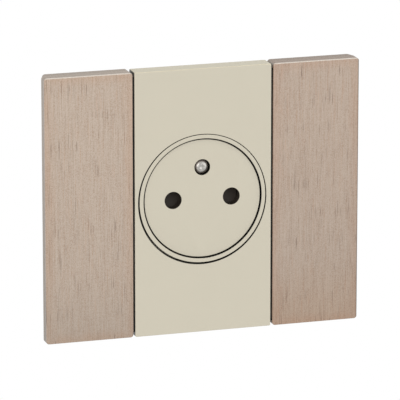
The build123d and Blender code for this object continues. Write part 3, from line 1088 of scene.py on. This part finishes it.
@dataclass
class CoverPlate:
    """The cover plate: two veneered wings, the panel between them and the dark carrier behind."""

    workshop: Workshop
    face_thickness: float = 2.4
    wall: float = 2.0
    edge_radius: float = 0.3
    joint_radius: float = 0.03
    shell_inset: float = 0.5
    veneer_inset: float = 1.0
    panel_inset: float = 0.38
    rim_inset: float = 0.2
    grip_depth: float = 2.9
    grip_inset: float = 1.0
    wing_corner: float = 0.9
    panel_corner: float = 0.4
    post_width: float = 3.0
    post_length: float = 2.4
    post_rise: float = 66.0
    post_corner: float = 0.3
    post_round: float = 0.25
    post_sunk: float = 0.2
    wing_post_pitch: float = 14.0
    panel_post_pitch: float = 30.0
    hole_centre: Pair = (-0.02, -0.15)
    hole_radius: float = 20.85
    hole_edge: float = 0.15
    # Painted shade on a brim round the hole and on the side walls in the gaps, and painted highlights on
    # the panel's rounded side and top edges.
    brim_centre: Pair = (-0.12, -0.22)
    brim_radius: float = 20.88
    side_gap_start: float = 0.35
    side_gap_skin: float = 0.05
    side_light: float = 1.14
    top_light: float = 1.16
    light_fade: float = 0.05
    seam: float = 5e-5
    # Painted shade on the panel's top wall.
    panel_top_shade: Colour = (0.936, 0.925, 0.865)
    left_tint: Colour = (0.975, 0.965, 0.948)
    right_tint: Colour = (0.90, 0.872, 0.85)
    # Painted shade on the right wing's top wall.
    right_top_shade: Colour = (0.80, 0.727, 0.68)
    right_warm: Colour = (1.0, 0.925, 0.88)
    right_foot_tint: Colour = (0.945, 0.88, 0.81)
    # Painted shade on the right veneer's front edge along its right.
    right_rim_shade: float = 0.4
    right_side_tone: float = 0.96
    front: float = field(init=False)
    seat: float = field(init=False)

    def __post_init__(self) -> None:
        """Reads the front of the plate and its seat on the carrier from the frame."""
        self.front = levels_of("front_panel")[0]
        self.seat = self.front - self.face_thickness

    def build(self) -> None:
        """Builds all the plate's pieces."""
        looks = {
            "left_wing": {"seed": 2.0, "tint": self.left_tint},
            "right_wing": {
                "seed": 4.0,
                "tint": self.right_tint,
                "warm": self.right_warm,
                "foot_tint": self.right_foot_tint,
                "side_tone": self.right_side_tone,
                "rim_shade": self.right_rim_shade,
            },
        }
        for name, outer in (("left_wing", -1), ("right_wing", 1)):
            self._wing(name, outer)
            self._veneer(f"{name}_veneer", looks[name])
        self._panel()
        self.workshop.soften("plate_carrier", Body.PLATE, Slot.CARRIER, 0.15)

    def _wall_stops(self, outline: Rectangle) -> list[float]:
        """Works out where the end walls stop along an upright edge.

        Args:
            outline: The shell's outline.

        Returns:
            The places, as shares of the edge's length.
        """
        run = 2 * (outline.half[1] - outline.corner)
        share = (self.wall - outline.corner) / run
        return [share, share + self.seam / run, 1 - share - self.seam / run, 1 - share]

    def _shell(
        self,
        outline: Rectangle,
        path: np.ndarray,
        back: float,
        grip: Pair,
        open_sides: Pair,
    ) -> np.ndarray:
        """Makes the grid of a shell from its face round the edge and up inside it.

        The outline is moved in along the path down to the seat's level, then runs to the back edge, in
        along it to the cavity and up the cavity's wall. A cavity's point is the outline's own point,
        drawn into the cavity's rectangle. On an open side the shell ends at the seat's level.

        Args:
            outline: The shell's outline.
            path: The rows of (inset, level) from the face to the seat's level.
            back: The level of the back edge.
            grip: How far the left and the right side lean in at the back.
            open_sides: The cavity's inset from the left and the right side.

        Returns:
            The grid, from the face's first row to the cavity's edge at the seat.
        """
        turn = self.edge_radius / 2
        lean = back + self.grip_depth
        levels = np.concatenate([path[:, 1], [lean, back + turn, back]])
        inset = np.concatenate([path[:, 0], [0.0, 0.0, turn]])
        leaning = np.concatenate([np.zeros(len(path) + 1), np.ones(2)])
        left, right = (inset + leaning * lean_in for lean_in in grip)
        loops = outline.loops(left, right, inset, self._wall_stops(outline))
        level = np.repeat(levels[:, None], loops.shape[1], axis=1)
        low = np.array([outline.low[0] + open_sides[0], outline.low[1] + self.wall])
        high = np.array([outline.high[0] - open_sides[1], outline.high[1] - self.wall])
        hollow = np.clip(loops[len(path)], low, high)
        loops = np.concatenate([loops, hollow[None], hollow[None]])
        level = np.concatenate([level, level[-1:], np.full_like(level[-1:], self.seat)])
        edge = loops[len(path)]
        inside = (edge[:, 1] > low[1] + self.seam / 2) & (edge[:, 1] < high[1] - self.seam / 2)
        on_left = (edge[:, 0] < outline.low[0] + self.seam) & (open_sides[0] == 0)
        on_right = (edge[:, 0] > outline.high[0] - self.seam) & (open_sides[1] == 0)
        ends_early = inside & (on_left | on_right)
        level = np.where(ends_early, np.maximum(level, self.seat), level)
        early_rows = (np.arange(len(loops)) > len(path))[:, None] & ends_early[None]
        loops = np.where(early_rows[..., None], edge[None], loops)
        return place(loops, level)

    def _posts(self, shape: Shape, centre: Pair, pitch: float) -> None:
        """Adds four square snap posts behind a shell.

        Args:
            shape: The shape that they are added to.
            centre: The shell's middle.
            pitch: The distance between the two upright rows.
        """
        half = self.post_width / 2
        tip = self.seat - self.post_length
        side = [(0.0, self.seat + self.post_sunk), (0.0, tip), (half, tip)]
        path = rounded_path(side, [self.post_round], steps=3)[:-1]
        for x in (centre[0] - pitch / 2, centre[0] + pitch / 2):
            for z in (centre[1] - self.post_rise / 2, centre[1] + self.post_rise / 2):
                post = Rectangle((x - half, z - half), (x + half, z + half), self.post_corner)
                loops = post.loops(path[:, 0], path[:, 0], path[:, 0], spans=2, arc_steps=3)
                shape.closed(place(loops, path[:, 1:]))

    def _wing(self, name: str, outer: int) -> None:
        """Builds one wing's shell, which ends under its veneer.

        Args:
            name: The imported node.
            outer: The side of the plate that the wing is on, -1 for the left.
        """
        outline = Rectangle.of(name, self.wing_corner)
        front, back = levels_of(name)
        side = [(self.shell_inset, front), (0.0, front), (0.0, self.seat)]
        path = rounded_path(side, [self.joint_radius], steps=3)
        grip = (self.grip_inset, 0.0) if outer < 0 else (0.0, self.grip_inset)
        open_sides = (self.wall, 0.0) if outer < 0 else (0.0, self.wall)
        shape = Shape()
        shape.closed(self._shell(outline, path, back, grip, open_sides))
        self._posts(shape, outline.centre, self.wing_post_pitch)
        # The right wing's moulding has its own, darker painted shade on its top wall.
        finish = None if outer < 0 else wing_moulding("taupe_right_moulding", self.right_top_shade).material()
        self.workshop.fit(f"{name}_shell", shape.mesh(name), Body.PLATE, Slot.WING, [name], finish)

    def _veneer(self, name: str, look: dict[str, object]) -> None:
        """Builds one veneer: its outline, carried over a rounded front edge.

        Args:
            name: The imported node.
            look: The values of its finish that are its own.
        """
        outline = Rectangle.of(name, self.wing_corner)
        front, back = levels_of(name)
        path = rounded_path(
            [(self.veneer_inset, front), (0.0, front), (0.0, back), (self.veneer_inset, back)],
            [self.edge_radius, self.joint_radius],
            steps=8,
            guard=0.02,
        )
        loops = outline.loops(path[:, 0], path[:, 0], path[:, 0])
        shape = Shape().closed(place(loops, path[:, 1:]))
        finish = OpenGrainVeneer(name, outline.centre, outline.half, **look).material()
        self.workshop.fit(f"{name}_face", shape.mesh(name), Body.PLATE, Slot.VENEER, [name], finish)

    def _lit_edge(self, shade: float, zone: Zone, limit: float, centre: Pair = (0.0, 0.0)) -> Band:
        """Makes the painted highlight on the panel's rounded edge.

        Args:
            shade: The factor on the colour.
            zone: The zone that the edge closes.
            limit: The place of the wall behind the edge.
            centre: The zone's middle.

        Returns:
            The band.
        """
        foot = self.front - self.edge_radius
        start = limit - self.edge_radius / 2
        mouth, fade = self.front + OVER_FACE, self.light_fade
        return Band(mouth, shade, foot=foot, foot_fade=fade, zone=zone, limit=start, centre=centre)

    def _panel(self) -> None:
        """Builds the centre panel, a face with a round hole and a wall along its top and its foot."""
        name = "front_panel"
        outline = Rectangle.of(name, self.panel_corner)
        middle, half_width = outline.centre, outline.half[0]
        edge = [(self.panel_inset, self.front), (0.0, self.front), (0.0, self.seat)]
        path = rounded_path(edge, [self.edge_radius], steps=8, guard=0.02)
        sides = self._shell(outline, path, levels_of(name)[1], (0.0, 0.0), (0.0, 0.0))
        edge = [(0.0, self.seat), (0.0, self.front), (self.rim_inset, self.front)]
        rim = rounded_path(edge, [self.hole_edge], steps=5, guard=0.02)
        start = sides[0][:, [0, 2]]
        hole = np.stack([ring_of(start, self.hole_centre, self.hole_radius + out) for out in rim[:, 0]])
        shape = Shape().add(np.concatenate([place(hole, rim[:, 1:]), sides]), wrap_rows=True)
        self._posts(shape, middle, self.panel_post_pitch)
        # The panel's finish: painted shade on the hole's wall, on the side walls in the gaps and on a
        # brim round the hole, painted highlights on the rounded side and top edges, and painted shade on
        # the top wall.
        side_gap = self.front - self.side_gap_start
        finish = cream_moulding(
            "cream_panel",
            painted_gap_shade(self.front, zone=Zone.INSIDE, limit=self.hole_radius + self.hole_edge),
            Band(side_gap, zone=Zone.BESIDE, limit=half_width - self.side_gap_skin, centre=middle),
            painted_brim_shade(self.front, zone=Zone.INSIDE, limit=self.brim_radius, centre=self.brim_centre),
            self._lit_edge(self.side_light, Zone.BESIDE, half_width, middle),
            self._lit_edge(self.top_light, Zone.ABOVE, outline.high[1]),
            top_shade=self.panel_top_shade,
        ).material()
        self.workshop.fit(f"{name}_shell", shape.mesh(name), Body.PLATE, Slot.CREAM, [name], finish)


@dataclass
class Mechanism:
    """The disc with its shutter cassette, the sleeve round it, the earth pin and the springs."""

    workshop: Workshop
    disc_radius: float = 18.88
    disc_thickness: float = 2.2
    disc_edge: float = 0.15
    # The disc's painted shade: its start under the face, its fade, and a brim on the face beyond a
    # circle.
    gap_start: float = 0.03
    gap_fade: float = 0.06
    brim_centre: Pair = (0.08, 0.08)
    brim_radius: float = 18.9
    skirt_bore: float = 17.3
    lip_radius: float = 19.9
    lip_height: float = 1.2
    pin_hole_radius: float = 2.75
    pin_hole_lip: float = 0.5
    counterbore_radius: float = 3.75
    earth_hole_radius: float = 2.55
    hole_edge: float = 0.1
    hole_inset: float = 1.0
    ledge_drop: float = 1e-4
    skirt_round: float = 0.15
    stake_radius: float = 1.2
    stake_round: float = 0.3
    stake_sunk: float = 0.2
    stake_x: float = 7.0
    stake_z: float = 13.4
    stake_level: float = -1.2
    pin_centres: tuple[Pair, Pair] = ((-9.5, 0.0), (9.5, 0.0))
    earth_centre: Pair = (0.0, 10.0)
    earth_pin_radius: float = 2.4
    earth_pin_round: float = 1.6
    earth_neck_round: float = 0.1
    earth_head_round: float = 0.2
    earth_dimple_round: float = 0.25
    earth_dimple_radius: float = 0.75
    earth_dimple_depth: float = 0.2
    earth_head_radius: float = 3.2
    earth_head_height: float = 1.4
    columns_per_turn: int = 240
    coil_points_per_turn: int = 48
    wire_sides: int = 12
    sleeve_break: float = 0.06
    cassette_break: float = 0.08
    shutter_break: float = 0.15

    def build(self) -> None:
        """Builds all the mechanism's pieces."""
        self._disc()
        self._earth_pin()
        # The sleeve's cream has a nearly black painted shade in the gaps on its sides.
        self.workshop.soften("well_sleeve", Body.PLATE, Slot.CREAM, self.sleeve_break, 2)
        for name in ("shutter_guide", "shutter_cover"):
            self.workshop.soften(name, Body.DISC, Slot.SHUTTER, self.cassette_break, 2)
        self.workshop.soften("shutter", Body.SHUTTER, Slot.SHUTTER, self.shutter_break)
        for side in ("left", "right", "lower"):
            self._spring(f"{side}_return_spring", Body.PLATE, "disc_press", 1, wire=0.3, turns=9.0)
        self._spring("shutter_spring", Body.DISC, "shutter_slide", 2, wire=0.175, turns=8.0)

    def _sector(self, radius: float, start: float, end: float) -> np.ndarray:
        """Makes the loop round one sector of a disc: out along a ray, round the arc and back.

        Args:
            radius: The disc's radius.
            start: The first ray's angle in degrees.
            end: The second ray's angle in degrees.

        Returns:
            The loop's points, as (x, z).
        """
        count = round(abs(end - start) / 360 * self.columns_per_turn)
        angle = np.radians(np.linspace(start, end, count + 1))
        arc = radius * turned(angle)
        share = np.linspace(0, 1, 25)[1:-1, None]
        return np.concatenate([arc, arc[-1] * (1 - share), np.zeros((1, 2)), arc[0] * share])

    def _disc(self) -> None:
        """Builds the disc.

        Its face and its underside are each cut into three sectors, one round each hole. A sector's
        boundary is drawn in to its hole, so that both are loops of as many points. The skirt is a
        profile turned about the disc's axis, with the same points on its circle.
        """
        name = "retracting_disc"
        front, skirt_back = levels_of(name)
        back = front - self.disc_thickness
        step = front - self.pin_hole_lip
        sectors = (
            (self.pin_centres[0], 135.0, 270.0, self.pin_hole_radius, self.counterbore_radius),
            (self.pin_centres[1], -90.0, 45.0, self.pin_hole_radius, self.counterbore_radius),
            (self.earth_centre, 45.0, 135.0, self.earth_hole_radius, self.earth_hole_radius),
        )
        shape = Shape()
        for centre, start, end, mouth, seat in sectors:
            face = self._sector(self.disc_radius - self.disc_edge, start, end)
            under = self._sector(self.skirt_bore, start, end)
            ledge = [(mouth, step), (seat, step - self.ledge_drop)] if seat > mouth else []
            hole = [(mouth + self.hole_inset, front), (mouth, front), *ledge, (seat, back)]
            path = rounded_path(hole, [self.hole_edge, 0.0, 0.0], steps=5, guard=0.02)
            walls = np.stack([ring_of(face, centre, radius) for radius in path[:, 0]])
            rows = [place(face[None], front), place(walls, path[:, 1:]), place(under[None], back)]
            shape.add(np.concatenate(rows))
        lip = skirt_back + self.lip_height
        skirt = rounded_path(
            [
                (self.disc_radius - self.disc_edge, front),
                (self.disc_radius, front),
                (self.disc_radius, lip),
                (self.lip_radius, lip),
                (self.lip_radius, skirt_back),
                (self.skirt_bore, skirt_back),
                (self.skirt_bore, back),
            ],
            [self.disc_edge - 1e-6, 0.0, self.skirt_round, self.skirt_round, self.skirt_round],
            guard=0.02,
        )
        # The first arc starts on the face's own circle, so the guard point before it goes
        skirt = np.delete(skirt, 1, axis=0)
        shape.add(lathe(skirt, columns=self.columns_per_turn))
        side = [(self.stake_radius, back + self.stake_sunk), (self.stake_radius, self.stake_level)]
        stake = rounded_path([*side, (0.0, self.stake_level)], [self.stake_round], steps=4)[:-1]
        for x in (-self.stake_x, self.stake_x):
            for z in (-self.stake_z, self.stake_z):
                shape.closed(lathe(stake, (x, z), columns=32))
        # Nearly black painted shade on the disc's side wall and hole walls, and on a brim of its face
        # beyond a circle.
        finish = cream_moulding(
            "cream_disc",
            painted_gap_shade(front, self.gap_start, self.gap_fade),
            painted_brim_shade(front, zone=Zone.OUTSIDE, limit=self.brim_radius, centre=self.brim_centre),
        ).material()
        self.workshop.fit(f"{name}_shell", shape.mesh(name), Body.DISC, Slot.CREAM, [name], finish)

    def _earth_pin(self) -> None:
        """Builds the earth pin: a turned profile with a rounded tip and a small centre dimple."""
        name = "earth_pin"
        tip, foot = levels_of(name)
        neck = foot + self.earth_head_height
        path = rounded_path(
            [
                (0.0, tip - self.earth_dimple_depth),
                (self.earth_dimple_radius, tip),
                (self.earth_pin_radius, tip),
                (self.earth_pin_radius, neck),
                (self.earth_head_radius, neck),
                (self.earth_head_radius, foot),
                (0.0, foot),
            ],
            [
                self.earth_dimple_round,
                self.earth_pin_round,
                self.earth_neck_round,
                self.earth_head_round,
                self.earth_head_round,
            ],
            steps=14,
            guard=0.01,
        )
        shape = Shape().add(lathe(path, self.earth_centre, columns=128))
        self.workshop.fit(f"{name}_turned", shape.mesh(name), Body.PLATE, Slot.PIN, [name])

    def _spring(
        self, name: str, body: Body, joint: str, along: int, wire: float, turns: float
    ) -> None:
        """Builds a coil spring with closed ends.

        The wire's middle runs on a helix: at share s its angle is 2 pi n s, and its height follows a
        smooth curve that is flat over the first and the last turn. The wire's circle is set on two
        directions across it, one of them pointing away from the spring's axis.

        Args:
            name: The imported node.
            body: The body that the spring rides on.
            joint: The joint that presses it.
            along: The axis that it lies along, 1 for Y and 2 for Z.
            wire: The wire's radius in millimetres.
            turns: The number of turns.
        """
        low, high = (np.array(corner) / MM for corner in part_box(name))
        middle = (low + high) / 2
        across = [axis for axis in range(3) if axis != along]
        radius = (high - low)[across].min() / 2 - wire
        share = np.linspace(0, 1, round(self.coil_points_per_turn * turns) + 1)
        dead = 1.0 / turns
        rise = np.clip((share - dead / 2) / (1 - dead), 0, 1)
        height = low[along] + wire + (high - low - 2 * wire)[along] * rise
        angle = math.tau * turns * share
        centre = np.zeros((len(share), 3))
        centre[:, across] = middle[across] + radius * turned(angle)
        centre[:, along] = height
        outward = np.zeros_like(centre)
        outward[:, across] = turned(angle)
        tangent = np.gradient(centre, axis=0)
        tangent /= np.linalg.norm(tangent, axis=1, keepdims=True)
        sideways = np.cross(tangent, outward)
        turn = np.linspace(0, math.tau, self.wire_sides, endpoint=False)[None, :, None]
        circle = np.cos(turn) * outward[:, None] + np.sin(turn) * sideways[:, None]
        shape = Shape().closed(centre[:, None] + wire * circle)
        piece = self.workshop.fit(f"{name}_coil", shape.mesh(name), body, Slot.WIRE, [name])
        travel = next(item for item in frame["joints"] if item["name"] == joint)["range_m"][1]
        length = float((high - low)[along]) * MM
        anchor = Vector(middle * MM)
        anchor[along] = float(high[along] if along == 1 else low[along]) * MM
        direction = Vector((0, 0, 0))
        direction[along] = 1
        1 - travel / length
        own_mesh(piece)


@dataclass
class WallBody:
    """What lies in the wall: the support frame, the housing with its terminals and the rear cover."""

    workshop: Workshop
    frame_break: float = 0.12
    housing_break: float = 0.18
    terminal_break: float = 0.1
    fine_break: float = 0.08

    def build(self) -> None:
        """Builds all the pieces in the wall."""
        self.workshop.soften("support_frame", Body.PLATE, Slot.FRAME, self.frame_break, 2)
        for name in ("contact_housing", "rear_cover"):
            self.workshop.soften(name, Body.PLATE, Slot.HOUSING, self.housing_break)
        for wire in ("live", "neutral", "earth"):
            self.workshop.soften(f"{wire}_terminal", Body.PLATE, Slot.BRASS, self.terminal_break, 2)
            self.workshop.soften(f"{wire}_terminal_screw", Body.PLATE, Slot.SCREW, self.fine_break, 2)
        for name in ("live_contact", "neutral_contact", "earth_strap"):
            self.workshop.soften(name, Body.PLATE, Slot.BRASS, self.fine_break, 2)
        for name in ("upper_front", "lower_front", "left_rear", "right_rear", "lower_rear"):
            self.workshop.soften(f"{name}_screw", Body.PLATE, Slot.SCREW, self.fine_break, 2)


@dataclass
class Studio:
    """The camera at the photograph's viewing angle, the lamps, the floor and the white surround."""

    target: Vector = field(default_factory=lambda: Vector((-0.904, -6.585, -0.37)) * MM)
    camera_place: Vector = field(default_factory=lambda: Vector((-374.8, -1215.8, 325.7)) * MM)
    pixels_focal: float = 4190.0
    sensor: float = 36.0
    clip: Pair = (0.01, 20.0)
    world_level: float = 0.72
    floor_drop: float = 0.35
    floor_size: float = 6.0

    def build(self) -> None:
        """Sets the whole studio."""
        self._camera()
        self._world()
        self._floor()
        self._lamp("key", (-0.9, -1.5, 0.4), size=1.0, power=6.2)
        self._lamp("top", (0.42, -0.42, 1.35), size=0.3, power=2.2)
        self._lamp("fill", (1.2, -1.6, 0.1), size=1.2, power=4.0)
        bpy.context.scene.view_settings.view_transform = "Standard"

    def _camera(self) -> None:
        """Places the camera, whose focal length is given in pixels of the photograph."""
        data = bpy.data.cameras.new("camera")
        data.sensor_width = self.sensor
        data.lens = self.sensor * self.pixels_focal / PHOTO_PIXELS
        data.clip_start, data.clip_end = self.clip
        camera = add_object("camera", data)
        self._aim(camera, self.camera_place)
        bpy.context.scene.camera = camera

    def _aim(self, thing: bpy.types.Object, spot: Vector) -> None:
        """Sets a lamp or the camera at a spot, looking at the object."""
        thing.location = spot
        thing.rotation_euler = (self.target - spot).to_track_quat("-Z", "Y").to_euler()

    def _lamp(self, name: str, spot: Triple, size: float, power: float) -> None:
        """Adds a square soft lamp that looks at the object.

        Args:
            name: The lamp's name.
            spot: Its place in metres.
            size: The length of its side in metres.
            power: Its power in watts.
        """
        data = bpy.data.lights.new(name, "AREA")
        data.shape = "SQUARE"
        data.size = size
        data.energy = power
        lamp = add_object(name, data)
        self._aim(lamp, Vector(spot))
        lamp.visible_camera = False

    def _seen_white(self, tree: Tree) -> Value:
        """Tells the rays that see the surround itself from those that light with it.

        Args:
            tree: The tree to add the nodes to.

        Returns:
            1 for the rays that see it, and 0 for the others.
        """
        kinds = ("Camera", "Glossy", "Transmission")
        paths = [tree.node("ShaderNodeLightPath", {}, {}, f"Is {kind} Ray") for kind in kinds]
        return paths[0].most(paths[1]).most(paths[2])

    def _world(self) -> None:
        """Makes a surround that is white to look at and lights the object at its own level."""
        world = bpy.data.worlds.new("surround")
        tree = Tree(world)
        strength = self._seen_white(tree).ramp(0.0, 1.0, self.world_level, 1.0)
        inputs = {"Color": (1.0, 1.0, 1.0), "Strength": strength}
        tree.close(tree.node("ShaderNodeBackground", {}, inputs), "ShaderNodeOutputWorld")
        bpy.context.scene.world = world

    def _floor(self) -> None:
        """Lays a pale floor well below the object, white to look at."""
        half = self.floor_size / 2
        level = -self.floor_drop
        mesh = bpy.data.meshes.new("floor")
        corners = [(-half, -half, level), (half, -half, level), (half, half, level), (-half, half, level)]
        mesh.from_pydata(corners, [], [(0, 1, 2, 3)])
        tree = Tree.new("pale_floor")
        matt = tree.node("ShaderNodeBsdfDiffuse", {}, {"Color": (0.8, 0.8, 0.8)})
        white = tree.node("ShaderNodeEmission", {}, {})
        inputs = {0: self._seen_white(tree), 1: matt, 2: white}
        tree.close(tree.node("ShaderNodeMixShader", {}, inputs))
        mesh.materials.append(tree.owner)
        floor = add_object("floor", mesh)


def make_finishes() -> dict[Slot, bpy.types.Material]:
    """Makes the finish of each slot. The veneers and a few more pieces have their own.

    Returns:
        Each slot's material.
    """
    finishes = {
        # The trim ring's cream has a nearly black painted shade in the gaps on its sides.
        Slot.CREAM: ring_moulding(levels_of("front_panel")[0]),
        # The wings' taupe has a painted shade on its top wall.
        Slot.WING: wing_moulding("taupe_moulding", (0.94, 0.90, 0.855)),
        Slot.CARRIER: MouldedPlastic("black_carrier", linear(18, 17, 16), 0.6, 0.2),
        Slot.SHUTTER: MouldedPlastic("charcoal_plastic", linear(62, 54, 46), 0.5, 0.3),
        Slot.HOUSING: MouldedPlastic("grey_housing", linear(196, 197, 194), 0.5, 0.5, 0.02),
        Slot.FRAME: SpangledZinc("galvanised_sheet"),
        Slot.WIRE: PlatedMetal("spring_wire", (0.52, 0.52, 0.53), 0.28),
        Slot.PIN: TurnedNickel("nickel_plate", (0.0, 10.0)),
        Slot.BRASS: PlatedMetal("brass_strip", (0.74, 0.56, 0.28), 0.3, 0.08),
        Slot.SCREW: PlatedMetal("plated_screw", (0.60, 0.60, 0.58), 0.32),
    }
    return {slot: finish.material() for slot, finish in finishes.items()}


def main() -> None:
    """Builds the studio and the pieces in order."""
    logging.basicConfig(level=logging.INFO, format="%(name)s: %(message)s")
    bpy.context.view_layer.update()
    Studio().build()
    workshop = Workshop(make_finishes())
    CoverPlate(workshop).build()
    Mechanism(workshop).build()
    WallBody(workshop).build()


if __name__ == "__main__":
    main()
